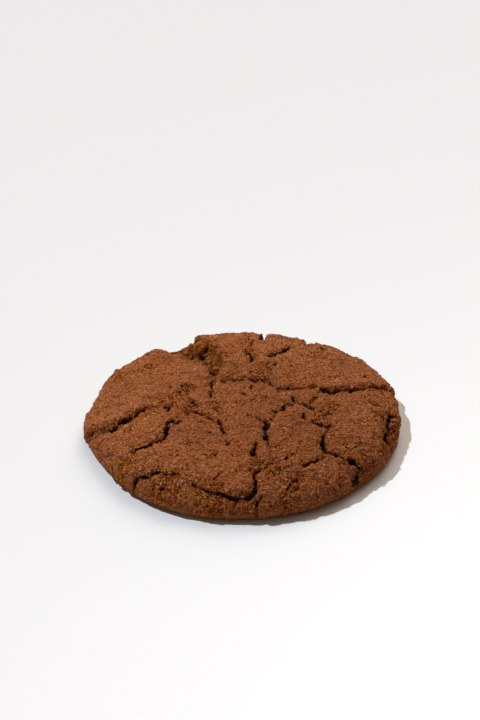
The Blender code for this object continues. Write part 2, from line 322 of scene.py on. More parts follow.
dough = {
    "Radius": 44.0 * mm,
    "Base radius": 41.8 * mm,
    "Widest height": 3.8 * mm,
    "Top height": 11.4 * mm,
    "Centre sink": 0.5 * mm, "Sink reach": 0.35,
    "Across": 420,               # points along each side of the block
    "Down": 24,
    "sineShare": 0.4,            # how far the points crowd towards the rim
    "mostTriangles": 196000,
    # the shoulder: full all round, but thin at the back left, over these degrees
    "fullPower": 5.0, "fullRounding": 0.55,
    "thinPower": 2.3, "thinRounding": 0.80,
    "thinMiddle": 151.5, "thinHalf": 34.5, "thinBlend": 7.0,
    # the cracks: how they wander, and how ragged and uneven they are
    "Route spacing": 0.25 * mm,
    "Wander": 0.6 * mm, "Wander length": 3.6 * mm, "Wander apart": 7.0 * mm,
    "Warp": 0.50 * mm, "Warp length": 1.5 * mm,
    "Ragged": 0.16 * mm, "Ragged length": 0.7 * mm,
    "Uneven": 1.9, "Uneven length": 2.4 * mm, "Least uneven": 0.2, "Most uneven": 1.6,
    "Steady from": 1.3 * mm, "Steady to": 1.8 * mm,      # wider cracks keep their width
    "End taper": 1.2 * mm,
    # their walls, the steps between plates, and the swelling beside them
    "Widen": 0.95, "Depth for width": 1.9,
    "Wall foot": 0.34, "Wall top": 0.50, "Wall edge": 0.08 * mm,
    "Step reach": 7.0 * mm, "Step slope": 0.5, "Wall slope": 2.0 * mm,
    "Roll share": 0.26,
    "Puff": 0.35 * mm, "Puff reach": 1.1 * mm,
    "Torn rim": 1.2 * mm, "Torn wall": 0.9,
    # painted shade in them: darker by the depth of the opening, less in wide ones, on lumps and low on the
    # rim
    "Dark from": 0.1 * mm, "Dark to": 0.7 * mm,
    "Narrow gloom": 0.55, "Wide gloom": 0.38,
    "Wide from": 2.2 * mm, "Wide to": 4.5 * mm,
    "Lump cover": 1.2 * mm, "Gloom on lumps": -0.9,
    "Rim from": 1.5 * mm, "Rim to": 4.0 * mm, "Gloom on rim": 0.3,
    # rubble in the widest, crazing and pits elsewhere
    "Rubble": 0.5 * mm, "Rubble length": 2.2 * mm, "Rubble blend": 0.2, "Rubble reach": 2.5 * mm,
    "Lump rounding": 0.6,
    "Patch size": 1.2, "Patch edge": 1.5,
    "Craze spacing": 5.0 * mm, "Craze width": 0.28 * mm, "Craze depth": 0.4 * mm,
    "Craze from": 0.51, "Craze to": 0.60,
    "Pit spacing": 2.0 * mm, "Pit radius": 0.36 * mm, "Pit depth": 0.7 * mm, "Pit gloom": 0.7,
    "Pit from": 0.35, "Pit edge": 0.01 * mm, "Least pit": 0.08 * mm,
    # relief: how far the surface stands out, and over what length
    "Broad": 0.55 * mm, "Broad length": 11.0 * mm,
    "Lump": 0.55 * mm, "Lump length": 4.2 * mm,
    "Knob": 0.30 * mm, "Knob length": 1.7 * mm,
    "Grain": 0.22 * mm, "Grain length": 0.80 * mm,
    "Torn knob": 0.60 * mm, "Torn length": 1.6 * mm, "Torn blend": 0.25, "Torn in rubble": -0.85,
    "Bead": 0.15 * mm, "Bead length": 0.95 * mm,
    "Cell middle": 0.4,          # the mean distance in a cell pattern
    "Jitter": 0.10 * mm, "Jitter length": 0.8 * mm,
    "Outline": 0.45 * mm, "Outline length": 3.0 * mm, "Outline from": 0.8,
    "Fade height": 1.6 * mm,
    "Least thickness": 2.6 * mm,
}

# direction and spread in degrees, amount
outlineSwells = (
    (50, 18, 0.8 * mm),
    (22, 16, 1.3 * mm),
    (90, 24, 0.4 * mm),
    (-40, 18, -0.7 * mm),
    (168, 14, -0.5 * mm),
    (-150, 18, -1.3 * mm),
    (-110, 20, 0.5 * mm),
    (169, 8, -0.7 * mm),
    (117.4, 3, -1.4 * mm),
)

# x, y, spread, amount, in millimetres
plateLifts = (
    (3, 30, 14, 0.4),
    (-30, 24, 10, 0.7),
    (27, -6, 10, 0.3),
    (-14, -22, 11, 0.4),
    (14, -15, 9, 0.4),
    (-13, 25, 6, -1.2),
    (-17.4, 28, 3, -0.8),
    (-20.0, 37.4, 2.0, -2.4),
    (-19.4, 32, 2.6, -2.2),
    (-18.8, 27, 3.0, -1.9),
    (-16, 38, 2.6, -0.9),
    (-24.6, 31, 3.4, 1.5),
    (-38, 13, 6, -0.7),
    (-2, 38, 8, -0.5),
    (17, 37, 5, -0.6),
    (33, 26, 6, 0.4),
)

# All in millimetres. Each point of a route has its place and how wide the crack gapes there. roll is the
# width over which the plate rolls down, on the left of the route if positive, and step is how much higher
# the left side stands. A crack that doesn't name them has neither.
cracks = {
    "leftGash": dict(depth=3.4, roll=2.8, step=1.5, route=(
        (-46, -8.6, 0.3), (-42, -10.2, 0.3), (-40.3, -10.5, 0.2), (-38.4, -11.5, 0.2), (-36.8, -12.2, 0.2),
        (-35, -11.9, 0.7), (-33, -10.6, 1.2), (-30.4, -9.0, 1.2), (-28.6, -7.0, 0.8), (-26.6, -5.4, 0.4),
        (-24.6, -4.4, 0.4))),
    "leftLower": dict(depth=2.4, roll=-1.4, step=0.5, route=(
        (-29.6, -25.6, 0.4), (-28.4, -23.6, 0.4), (-27.2, -22.7, 0.6), (-25, -22.6, 0.6),
        (-23.8, -21.2, 0.5), (-22.4, -20.5, 1.1), (-20.8, -20, 0.8), (-20.5, -17.6, 0.9),
        (-20.4, -15.6, 1.2), (-19.6, -13.8, 0.8))),
    "leftPit": dict(depth=2.2, route=(
        (-20.4, -13.6, 0.6), (-18.4, -12.4, 1.5), (-17.6, -13.4, 2.0), (-16.2, -11.4, 0.7))),
    "leftHook": dict(depth=1.8, step=0.3, route=(
        (-17.4, -2.6, 0.5), (-18.6, -3.6, 0.6), (-19.8, -5, 0.9), (-20, -6.3, 1.1), (-19.2, -7.7, 0.5))),
    "leftSlit": dict(depth=1.3, route=((-15.2, 9, 0.5), (-16.6, 7.4, 0.9), (-18.2, 6.2, 0.6))),
    "leftDot": dict(depth=1.3, route=((-17.6, 4, 0.4), (-16.9, 3, 0.6))),
    "leftInner": dict(depth=1.7, route=(
        (-14.6, 0.4, 0.5), (-13.5, -1.5, 0.9), (-12.6, -3.2, 1.0), (-11.2, -4.6, 0.5))),
    "leftArc": dict(depth=1.1, step=0.5, route=(
        (-15.2, -9, 0.3), (-14, -7, 0.4), (-12.4, -6.6, 0.5), (-10.6, -8, 0.8), (-9.4, -9.4, 0.4),
        (-7, -12, 0.3))),
    "frontLeft": dict(depth=1.5, step=0.8, route=(
        (-28.3, -36, 0.4), (-28.9, -33.6, 0.7), (-27.6, -32.5, 0.7), (-25.8, -32.5, 0.6),
        (-24.4, -33.3, 0.4), (-23.6, -32.5, 0.3), (-22.2, -32.6, 0.6), (-20.8, -33.3, 0.3),
        (-18.6, -33.8, 0.2), (-17, -34.2, 0.3), (-14.8, -34.9, 0.2))),
    "frontLedge": dict(depth=1.7, step=1.0, route=(
        (-16, -36.4, 0.2), (-12.6, -38.2, 0.3), (-10.4, -39.2, 0.2), (-7.4, -40.6, 0.3), (-4, -41.8, 0.9),
        (-1.6, -42.6, 0.4), (0.4, -42.5, 0.5), (2, -42, 1.3), (3.4, -41, 0.8))),
    "frontValley": dict(depth=2.1, route=(
        (3.6, -41.6, 0.6), (4, -39.8, 1.0), (3.6, -37.6, 0.7), (3, -35.6, 0.9), (5, -33.8, 0.4),
        (7, -31.9, 0.5), (9.6, -30.4, 0.4), (11.8, -29.2, 0.4), (13.2, -28, 0.3), (15.4, -26.4, 0.2))),
    "frontSlit": dict(depth=1.4, step=0.3, route=(
        (5.8, -41.6, 0.4), (4.2, -43.0, 0.8), (3.4, -43.8, 0.4), (3.0, -45, 0.2))),
    "frontPit": dict(depth=2.2, route=(
        (3.9, -22.2, 0.5), (3.4, -24.6, 0.9), (3, -27.4, 1.4), (3.2, -29.2, 1.0))),
    "middleHole": dict(depth=1.9, route=((-3.6, -22.4, 0.9), (-3.9, -24, 1.2))),
    "middleChain": dict(depth=1.5, step=0.4, route=(
        (-6.4, -11.6, 0.5), (-5.2, -14.6, 0.6), (-4.8, -17.2, 0.8), (-4.5, -19, 0.9))),
    "frontCleft": dict(depth=1.3, route=(
        (-10.4, -27.8, 0.4), (-8.8, -28.6, 0.5), (-7, -28.3, 0.8), (-6.2, -26.6, 0.5))),
    "frontRight": dict(depth=1.2, step=0.5, route=(
        (15.8, -32.6, 0.4), (16.9, -31.2, 0.7), (18, -29.8, 0.4), (19.4, -29, 0.3), (20.6, -28.2, 0.6),
        (22.4, -27, 0.3))),
    "frontRightLow": dict(depth=1.0, step=0.6, route=(
        (11.6, -40, 0.2), (13, -38.2, 0.4), (13.8, -36.6, 0.2), (14.8, -35.6, 0.2), (16.6, -34.4, 0.2))),
    "sideCleft": dict(depth=1.3, route=((-21.6, -37, 0.6), (-20.2, -38.2, 0.9))),
    "hook": dict(depth=2.4, roll=1.3, route=(
        (8.2, -7.6, 0.9), (9.6, -7.2, 1.5), (10.4, -5.8, 1.3), (11.6, -4.2, 0.8), (13.2, -3.1, 0.6),
        (15, -2.9, 0.5), (17.2, -3.2, 0.7), (18.4, -4.4, 1.5), (19.4, -5.6, 0.9), (21, -6.8, 0.4))),
    "hookTop": dict(depth=1.6, route=((13.8, 1.6, 0.6), (14, -0.2, 1.1), (14.2, -2.4, 0.7))),
    "hookArm": dict(depth=1.4, route=((18.2, -3.4, 0.8), (19.4, -1.4, 0.6), (21.2, 0.4, 0.4))),
    "rightGash": dict(depth=2.6, roll=2.2, step=0.9, route=(
        (21.6, 5.2, 0.5), (23.4, 3.9, 1.4), (25.6, 3.5, 1.1), (28, 4.3, 0.7), (29.9, 5.0, 0.9),
        (32.4, 6.0, 0.6), (34.8, 7.1, 0.5), (37.2, 8.0, 0.7), (39.6, 9.6, 0.6), (43, 11.4, 0.5),
        (46, 12.6, 0.6))),
    "gashFoot": dict(depth=1.6, route=((23.8, 3.4, 1.2), (24.6, 1.6, 0.6))),
    "backEdge": dict(depth=0.9, step=0.9, route=(
        (-6.6, 8.6, 0.1), (-2.4, 9.6, 0.1), (2, 9.9, 0.2), (4.2, 9.4, 1.2), (6.4, 8.9, 0.2),
        (8.4, 7.4, 0.5), (10.2, 5.2, 0.5), (14.6, 5.4, 0.1), (18.2, 5.6, 0.2), (21.4, 6, 0.2))),
    "middleCleft": dict(depth=1.1, route=((2.8, 7.2, 0.5), (2.7, 4.8, 0.6))),
    "middleNick": dict(depth=1.0, route=((0, 3.6, 0.4), (0.2, 1.6, 0.5))),
    "centre": dict(depth=2.4, route=(
        (1.2, -7.6, 0.4), (2.6, -9.6, 0.5), (5, -10.6, 0.8), (6.6, -12, 1.5), (6.8, -14, 1.2),
        (6.1, -16.4, 0.9), (6.2, -18.6, 1.5), (6.1, -20.8, 1.0), (6.8, -23, 0.4), (8.2, -25.2, 0.3))),
    "centreArm": dict(depth=1.6, route=((9.2, -9.2, 0.6), (8.2, -10.8, 1.0), (7.2, -12.4, 1.0))),
    "rightTop": dict(depth=1.6, route=((17, -8.6, 0.6), (16.8, -10.8, 1.1), (17.6, -12.6, 0.5))),
    "rightInner": dict(depth=2.6, roll=-1.2, step=0.4, route=(
        (18.8, -12.2, 0.4), (20.4, -12.8, 1.0), (22.2, -13.8, 1.4), (23.5, -14.6, 0.9), (23, -16.6, 0.4),
        (22.3, -18.8, 1.2), (21.4, -20.8, 0.8), (21.7, -22.8, 1.8), (23, -25, 0.9), (25.2, -26.4, 0.4),
        (27.6, -26.8, 0.5), (29.6, -26.3, 1.5), (31, -27.4, 0.6), (32.6, -28.6, 0.5))),
    "rightInnerTip": dict(depth=1.6, route=((23, -14.4, 1.0), (24.6, -13.6, 0.6))),
    "rightHole": dict(depth=1.4, route=((22.2, -6.7, 0.9), (22.6, -7.2, 0.9))),
    "rightNick": dict(depth=1.2, route=((28.2, -20.8, 0.4), (27.8, -23.4, 0.7))),
    "rimSplit": dict(depth=1.4, step=0.4, route=(
        (31.4, -28.6, 0.6), (30.6, -30.2, 0.8), (30, -31.6, 0.4), (29.4, -32.8, 0.2))),
    "rightCrevice": dict(depth=2.6, step=0.7, route=(
        (38.4, -16.8, 1.2), (39.3, -14.4, 1.7), (40, -12, 1.1), (40.4, -10, 1.0), (40, -7.6, 1.3),
        (40.5, -5.4, 1.4), (41.2, -3, 0.9))),
    "rimCleft": dict(depth=1.6, route=((40.4, -9.6, 0.8), (42.4, -8.6, 0.8), (43.6, -7.2, 0.3))),
    "rimCleftLow": dict(depth=1.2, route=((39.6, -14, 0.8), (41.8, -14.6, 0.5), (43, -13.6, 0.2))),
    "rimCleftHigh": dict(depth=1.2, route=((40.8, -4.2, 0.6), (42.6, -2.2, 0.5), (43.8, -2.6, 0.2))),
    "rimTooth": dict(depth=2.2, route=((39, 18.6, 0.9), (46, 22, 1.6))),
    "rightSlit": dict(depth=1.1, route=((34.4, 0.4, 0.4), (36.6, -0.5, 0.6), (38.4, -1.8, 0.4))),
    "backValley": dict(depth=2.1, step=1.6, route=(
        (-17.6, 46, 6.8), (-16.9, 38, 6.8), (-13.8, 31, 7.6), (-10.4, 25.4, 7.2), (-7.4, 19.4, 5.6),
        (-7.4, 15, 3.0), (-8.2, 11.4, 1.6))),
    "valleyRim": dict(depth=2.6, route=((-17, 31.6, 0.7), (-15.4, 31.4, 1.5), (-14.4, 30.4, 0.9))),
    "valleyPit": dict(depth=3.2, route=(
        (-14.4, 28.4, 0.6), (-13.4, 27.4, 1.3), (-12.2, 26.8, 1.7), (-10.9, 26.4, 1.2))),
    "valleyBack": dict(depth=2.6, route=((-10.8, 30.4, 0.6), (-10.4, 29.2, 1.1), (-10.5, 27.6, 1.0))),
    "valleyMiddle": dict(depth=3.0, route=((-10, 20.8, 1.0), (-8.8, 20.2, 2.0), (-7.6, 20.2, 0.9))),
    "valleySide": dict(depth=2.4, route=((-6.6, 19.6, 0.8), (-5.8, 19.2, 1.3), (-5, 18.7, 0.6))),
    "valleyLow": dict(depth=2.0, route=((-9.2, 15, 0.8), (-8.4, 14.2, 1.4), (-7.2, 14.2, 0.6))),
    "valleyFoot": dict(depth=1.8, step=0.3, route=(
        (-9.2, 11.4, 0.3), (-8.4, 9.4, 0.5), (-8.2, 7, 1.0), (-8.7, 5.2, 0.4), (-8.8, 2.6, 0.5),
        (-8.3, 1.2, 1.2), (-8.7, 0, 0.4))),
    "valleyLast": dict(depth=1.0, route=((-7.8, -4.6, 0.5), (-6.8, -6.2, 0.7), (-6.4, -7.6, 0.4))),
    "backNotch": dict(depth=2.6, route=(
        (7.4, 44.6, 1.2), (6.8, 42.6, 2.0), (6.6, 37, 2.0), (5.6, 33.4, 1.0), (5, 31, 0.6))),
    "backInner": dict(depth=1.5, step=0.3, route=((3.6, 32, 0.5), (2.4, 29.4, 0.9), (2, 27, 0.7))),
    "backCentre": dict(depth=1.6, route=(
        (-0.6, 25.8, 0.5), (1.4, 24.5, 0.8), (2.6, 21.8, 1.2), (3, 19, 0.9), (2.4, 17.4, 0.4))),
    "backDots": dict(depth=1.2, route=((2.2, 13.8, 0.5), (2.6, 12.2, 0.7))),
    "backSlit": dict(depth=1.8, step=0.3, route=(
        (7.4, 21.4, 0.8), (9, 22.8, 1.0), (10.2, 24.2, 0.8), (11.8, 25.2, 0.6), (12.8, 27, 1.0),
        (13.8, 28.6, 0.6))),
    "backFleck": dict(depth=1.2, route=((9.6, 18, 0.7), (8.6, 16, 0.6))),
    "backRightNotch": dict(depth=2.2, step=-0.6, route=(
        (20, 42.4, 0.8), (19.4, 39, 1.6), (19.3, 35, 1.4), (19.2, 31.4, 0.8), (18.8, 29.6, 0.4))),
    "backRightStrip": dict(depth=0.7, route=((20, 37.4, 0.4), (24, 36.2, 0.6), (30, 33, 0.4))),
    "backRightNick": dict(depth=1.2, route=((23.4, 29.8, 0.7), (23.9, 27.4, 0.5))),
}

# lumps of dough that slid into the widest crack: x, y, radius, height, in millimetres
valleyLumps = (
    (-16.8, 36.0, 2.4, 1.4),
    (-12.8, 30.8, 2.7, 2.6),
    (-14.4, 34.6, 1.8, 1.0),
    (-11.4, 35.4, 2.0, 0.5),
    (-9.2, 32.0, 1.7, 0.6),
    (-8.2, 28.4, 2.0, 1.1),
    (-6.4, 24.0, 2.2, 0.9),
    (-10.4, 23.4, 2.0, 1.2),
    (-13.4, 24.6, 1.6, 0.7),
    (-8.4, 17.4, 1.9, 1.1),
    (-9.6, 11.6, 1.5, 0.7),
)

# where the skin is broken away from a crack: x, y, radius, in millimetres
brokenPatches = (
    (-32, -28, 3.6),
    (-20, -37, 4.5),
    (-8, -41, 4.5),
    (13, -39, 4.0),
    (41, -9, 5.0),
    (-18, 1, 4.0),
    (-22, -3.5, 4.5),
    (-14.5, -5, 4.0),
    (-16, 6, 3.5),
    (-26, 22, 3.0),
    (22, -9, 3.0),
    (34, -26, 4.0),
    (9, -33, 3.5),
    (6, 14, 4.0),
    (24, -5, 3.0),
    (3, -33, 4.0),
)


def crackRoutes():
    # the routes as chains of edges, each point with what its crack measures
    mesh = bpy.data.meshes.new("crackRoutes")
    points, edges, values = [], [], {"crack": [], "width": [], "depth": [], "roll": [], "step": []}
    for number, crack in enumerate(cracks.values()):
        for turn, (x, y, width) in enumerate(crack["route"]):
            if turn:
                edges.append((len(points) - 1, len(points)))
            points.append((x * mm, y * mm, 0))
            values["crack"].append(number)
            values["width"].append(width * mm)
            for key in ("depth", "roll", "step"):
                values[key].append(crack.get(key, 0) * mm)
    mesh.from_pydata(points, edges, [])
    for key, numbers in values.items():
        mesh.attributes.new(key, "FLOAT", "POINT").data.foreach_set("value", numbers)
    routes = bpy.data.objects.new("crackRoutes", mesh)
    bpy.context.scene.collection.objects.link(routes)
    return routes


def cookieTree(sizes, material):
    tree, size = newTree("spreadAndCrackDough", sizes, objects=("Routes",))
    node = partial(addNode, tree)
    smooth = {"interpolation_type": "SMOOTHSTEP"}
    topFace = 0.999              # the faces of the block lie at 1 and -1

    # the block, and where each of its points lies in it
    block = node("GeometryNodeMeshCube", {"Size": (2, 2, 2), "Vertices X": size["Across"],
                                          "Vertices Y": size["Across"], "Vertices Z": size["Down"]})
    place = node("GeometryNodeInputPosition")
    x, y, z = node("ShaderNodeSeparateXYZ", place, out=None).outputs
    share = node("MAXIMUM", node("ABSOLUTE", x), node("ABSOLUTE", y))
    heading = node("VectorMath.NORMALIZE", node("ShaderNodeCombineXYZ", x, y))

    # the radius in each direction
    radius = size["Radius"]
    for direction, spread, amount in outlineSwells:
        a = math.radians(direction)
        facing = node("VectorMath.DOT_PRODUCT", heading, (math.cos(a), math.sin(a), 0), out="Value")
        fall = node("MULTIPLY", node("SUBTRACT", facing, 1.0), 2 / math.radians(spread) ** 2)
        radius = node("MULTIPLY_ADD", node("EXPONENT", fall), amount, radius)
    taken = node("DIVIDE", size["Base radius"], size["Radius"])
    baseRadius = node("MULTIPLY", radius, taken)

    # a full shoulder, but a thin edge at the back left
    a = math.radians(sizes["thinMiddle"])
    facing = node("VectorMath.DOT_PRODUCT", heading, (math.cos(a), math.sin(a), 0), out="Value")
    outer = math.cos(math.radians(sizes["thinHalf"] + sizes["thinBlend"]))
    inner = math.cos(math.radians(sizes["thinHalf"] - sizes["thinBlend"]))
    thin = node("ShaderNodeMapRange", facing, outer, inner, 0.0, 1.0, **smooth)
    power = node("MULTIPLY_ADD", thin, sizes["thinPower"] - sizes["fullPower"], sizes["fullPower"])
    rounding = node("MULTIPLY_ADD", thin, sizes["thinRounding"] - sizes["fullRounding"],
                    sizes["fullRounding"])

    # the top of the round
    sine = node("SINE", node("MULTIPLY", share, math.pi / 2))
    even = node("MULTIPLY", share, 1 - sizes["sineShare"])
    eased = node("MULTIPLY_ADD", sine, sizes["sineShare"], even)
    inside = node("SUBTRACT", 1.0, node("POWER", eased, power))
    crown = node("POWER", node("MAXIMUM", inside, 0.0), rounding)
    domed = node("SUBTRACT", size["Top height"], size["Widest height"])
    topHeight = node("MULTIPLY_ADD", crown, domed, size["Widest height"])
    fall = node("POWER", node("DIVIDE", eased, size["Sink reach"]), 2.0)
    sunk = node("EXPONENT", node("MULTIPLY", fall, -1.0))
    topHeight = node("SUBTRACT", topHeight, node("MULTIPLY", sunk, size["Centre sink"]))

    # its side, a quarter round from the widest place down to the base
    under = node("MULTIPLY", node("SUBTRACT", 1.0, z), math.pi / 4)
    beyond = node("SUBTRACT", radius, baseRadius)
    sideRadius = node("MULTIPLY_ADD", node("COSINE", under), beyond, baseRadius)
    sideHeight = node("SUBTRACT", 1.0, node("SINE", under))
    sideHeight = node("MULTIPLY", sideHeight, size["Widest height"])
    onTop = node("GREATER_THAN", z, topFace)
    onBase = node("LESS_THAN", z, -topFace)
    baseOut = node("MULTIPLY", baseRadius, eased)
    topOut = node("MULTIPLY", radius, eased)
    outTo = node("GeometryNodeSwitch", onBase, sideRadius, baseOut, input_type="FLOAT")
    outTo = node("GeometryNodeSwitch", onTop, outTo, topOut, input_type="FLOAT")
    height = node("GeometryNodeSwitch", onTop, sideHeight, topHeight, input_type="FLOAT")
    spread = node("VectorMath.SCALE", {0: heading, "Scale": outTo})
    spread = node("VectorMath.ADD", spread, node("ShaderNodeCombineXYZ", None, None, height))
    cookie = node("GeometryNodeSetPosition", {"Geometry": block, "Position": spread})

    # values that stay on the points from one stage to the next
    vectors = ("shaken", "onward")
    numbers = ("crack", "width", "depth", "roll", "step", "toEnd", "ragged", "uneven",
               "cut", "lift", "torn", "gloom", "rubble")
    stored = {}
    for name in vectors + numbers:
        kind = "FLOAT_VECTOR" if name in vectors else "FLOAT"
        stored[name] = node("GeometryNodeInputNamedAttribute", name, data_type=kind)

    def keep(geometry, **values):
        for name, value in values.items():
            kind = "FLOAT_VECTOR" if name in vectors else "FLOAT"
            settings = {"Geometry": geometry, "Name": name, "Value": value}
            geometry = node("GeometryNodeStoreNamedAttribute", settings, data_type=kind, domain="POINT")
        return geometry

    def noiseAt(length, detail=1.0, out=0, where=place):
        scale = node("DIVIDE", 1.0, size[length])
        return node("ShaderNodeTexNoise", {"Vector": where, "Scale": scale, "Detail": detail}, out=out)

    def centred(value, amount):
        return node("MULTIPLY", node("SUBTRACT", value, 0.5), node("MULTIPLY", size[amount], 2.0))

    def swung(where, length, amount, detail):
        swing = node("VectorMath.SUBTRACT", noiseAt(length, detail, "Color", where), (0.5, 0.5, 0.5))
        swing = node("VectorMath.MULTIPLY", swing, (2, 2, 0))
        return node("VectorMath.SCALE", {0: swing, "Scale": size[amount]})

    # what the cracks read at each point of the dough: its place in plan, shaken, and how widely they open
    plan = node("VectorMath.MULTIPLY", place, (1, 1, 0))
    shaken = node("VectorMath.ADD", plan, swung(plan, "Warp length", "Warp", 3.0))
    uneven = node("ADD", centred(noiseAt("Uneven length", 1.0, where=plan), "Uneven"), 1.0)
    uneven = node("ShaderNodeClamp", uneven, size["Least uneven"], size["Most uneven"])
    ragged = centred(noiseAt("Ragged length", 2.0, where=plan), "Ragged")
    cookie = keep(cookie, shaken=shaken, ragged=ragged, uneven=uneven)
    cookie = keep(cookie, cut=0.0, lift=0.0, torn=0.0, gloom=0.0, rubble=0.0)

    # the routes, swung from side to side
    routes = node("GeometryNodeObjectInfo", size["Routes"], out="Geometry")
    routes = node("GeometryNodeMeshToCurve", routes)
    routes = node("GeometryNodeResampleCurve", {"Curve": routes, "Length": size["Route spacing"]},
                  mode="LENGTH")
    own = node("MULTIPLY", stored["crack"], size["Wander apart"])
    where = node("VectorMath.ADD", place, node("ShaderNodeCombineXYZ", None, None, own))
    swing = swung(where, "Wander length", "Wander", 0.0)
    routes = node("GeometryNodeSetPosition", {"Geometry": routes, "Offset": swing})
    along = node("GeometryNodeSplineParameter", out="Length")
    left = node("SUBTRACT", node("GeometryNodeSplineLength"), along)
    routes = keep(routes, toEnd=node("MINIMUM", along, left), onward=node("GeometryNodeInputTangent"))
    routes = node("GeometryNodeCurveToPoints", routes, mode="EVALUATED")

    # one crack after another: its own route, and what it measures at the nearest place
    start = tree.nodes.new("GeometryNodeRepeatInput")
    end = tree.nodes.new("GeometryNodeRepeatOutput")
    start.pair_with_output(end)
    tree.links.new(size["Cracks"], start.inputs["Iterations"])
    tree.links.new(cookie, start.inputs["Geometry"])
    isThis = node("FunctionNodeCompare", {0: stored["crack"], 1: start.outputs["Iteration"], "Epsilon": 0.1},
                  data_type="FLOAT", operation="EQUAL")
    route = node("GeometryNodeSeparateGeometry", routes, isThis, domain="POINT")
    nearest = node("GeometryNodeSampleNearest", {"Geometry": route, "Sample Position": stored["shaken"]},
                   domain="POINT")
    there = {}
    for name in ("place", "onward", "width", "depth", "roll", "step", "toEnd"):
        kind = "FLOAT_VECTOR" if name in ("place", "onward") else "FLOAT"
        value = place if name == "place" else stored[name]
        there[name] = node("GeometryNodeSampleIndex", {"Geometry": route, "Value": value, "Index": nearest},
                           data_type=kind, domain="POINT")
    depth, roll, step = there["depth"], there["roll"], there["step"]

    # how far away it is, on which side, and how it opens
    away = node("VectorMath.SUBTRACT", stored["shaken"], there["place"])
    gap = node("VectorMath.LENGTH", away, out="Value")
    side = node("VectorMath.CROSS_PRODUCT", there["onward"], away)
    side = node("SIGN", node("ShaderNodeSeparateXYZ", side, out="Z"))
    gap = node("ABSOLUTE", node("ADD", gap, stored["ragged"]))
    width = node("MULTIPLY", there["width"], size["Widen"])
    steady = node("ShaderNodeMapRange", width, size["Steady from"], size["Steady to"], 0.0, 1.0, **smooth)
    change = node("SUBTRACT", stored["uneven"], 1.0)
    change = node("MULTIPLY_ADD", change, node("SUBTRACT", 1.0, steady), 1.0)
    width = node("MULTIPLY", width, change)
    deepest = node("MINIMUM", depth, node("MULTIPLY", width, size["Depth for width"]))
    taper = node("ShaderNodeClamp", node("DIVIDE", there["toEnd"], size["End taper"]))
    taper = node("SQRT", taper)
    foot = node("MULTIPLY", width, size["Wall foot"])
    head = node("MULTIPLY", width, size["Wall top"])
    edge = node("ADD", head, size["Wall edge"])
    opening = node("ShaderNodeMapRange", gap, foot, edge, 1.0, 0.0, **smooth)
    opened = node("MULTIPLY", deepest, opening)
    lowered = node("MULTIPLY", opened, taper)

    # the plate rolls down to it on one side, and swells beside it
    reach = node("MULTIPLY_ADD", width, 0.5, node("ABSOLUTE", roll))
    bend = node("SUBTRACT", 1.0, node("DIVIDE", gap, reach))
    bend = node("POWER", node("MAXIMUM", bend, 0.0), 2.0)
    rolls = node("GREATER_THAN", node("MULTIPLY", side, roll), 0.0)
    rolled = node("MULTIPLY", node("MULTIPLY", depth, size["Roll share"]), bend)
    rolled = node("MULTIPLY", rolled, node("MULTIPLY", rolls, taper))
    fall = node("DIVIDE", node("MAXIMUM", node("SUBTRACT", gap, head), 0.0), size["Puff reach"])
    puff = node("EXPONENT", node("MULTIPLY", fall, -1.0))
    most = node("MINIMUM", size["Puff"], node("MULTIPLY", width, 0.5))
    puffed = node("MULTIPLY", node("MULTIPLY", puff, taper), most)
    lowered = node("MAXIMUM", node("ADD", lowered, rolled), puffed)
    cut = node("MAXIMUM", lowered, stored["cut"])

    # how much shade is painted into it, and how much rubble lies in it and beside it
    narrow = node("MULTIPLY", node("DIVIDE", deepest, width), size["Narrow gloom"])
    narrow = node("ShaderNodeClamp", narrow)
    core = node("ShaderNodeMapRange", opened, size["Dark from"], size["Dark to"], 0.0, 1.0, **smooth)
    wide = node("ShaderNodeMapRange", width, size["Wide from"], size["Wide to"], 0.0, 1.0, **smooth)
    shade = node("MAXIMUM", narrow, node("MULTIPLY", wide, size["Wide gloom"]))
    gloom = node("MULTIPLY", node("MULTIPLY", core, taper), shade)
    gloom = node("MAXIMUM", gloom, stored["gloom"])
    rubbleTo = node("ADD", head, size["Rubble reach"])
    beside = node("ShaderNodeMapRange", gap, head, rubbleTo, 1.0, 0.0, **smooth)
    rubble = node("MULTIPLY", node("MULTIPLY", beside, taper), wide)
    rubble = node("MAXIMUM", rubble, stored["rubble"])

    # its torn rim, and the step up to the higher plate
    high = node("GREATER_THAN", node("MULTIPLY", side, step), 0.0)
    wall = node("MULTIPLY", high, node("ABSOLUTE", step))
    wall = node("MULTIPLY", wall, size["Torn wall"])
    tornTo = node("ADD", node("ADD", head, size["Torn rim"]), wall)
    torn = node("ShaderNodeMapRange", gap, head, tornTo, 1.0, 0.0, **smooth)
    torn = node("MAXIMUM", node("MULTIPLY", torn, taper), stored["torn"])
    slope = node("MULTIPLY", width, size["Step slope"])
    slope = node("MAXIMUM", slope, node("MULTIPLY", high, size["Wall slope"]))
    rise = node("TANH", node("DIVIDE", gap, slope))
    hold = node("ShaderNodeMapRange", gap, 0.0, size["Step reach"], 0.5, 0.0, **smooth)
    lift = node("MULTIPLY", node("MULTIPLY", step, side), node("MULTIPLY", rise, hold))
    lift = node("ADD", node("MULTIPLY", lift, taper), stored["lift"])
    cookie = start.outputs["Geometry"]
    cookie = keep(cookie, cut=cut, torn=torn, gloom=gloom, lift=lift, rubble=rubble)
    tree.links.new(cookie, end.inputs["Geometry"])
    cookie = end.outputs["Geometry"]

    # whole plates that stand higher or lower
    plates = 0.0
    for px, py, spread, amount in inMetres(plateLifts):
        apart = node("VectorMath.DISTANCE", plan, (px, py, 0), out="Value")
        fall = node("MULTIPLY", node("POWER", node("DIVIDE", apart, spread), 2.0), -1.0)
        plates = node("MULTIPLY_ADD", node("EXPONENT", fall), amount, plates)

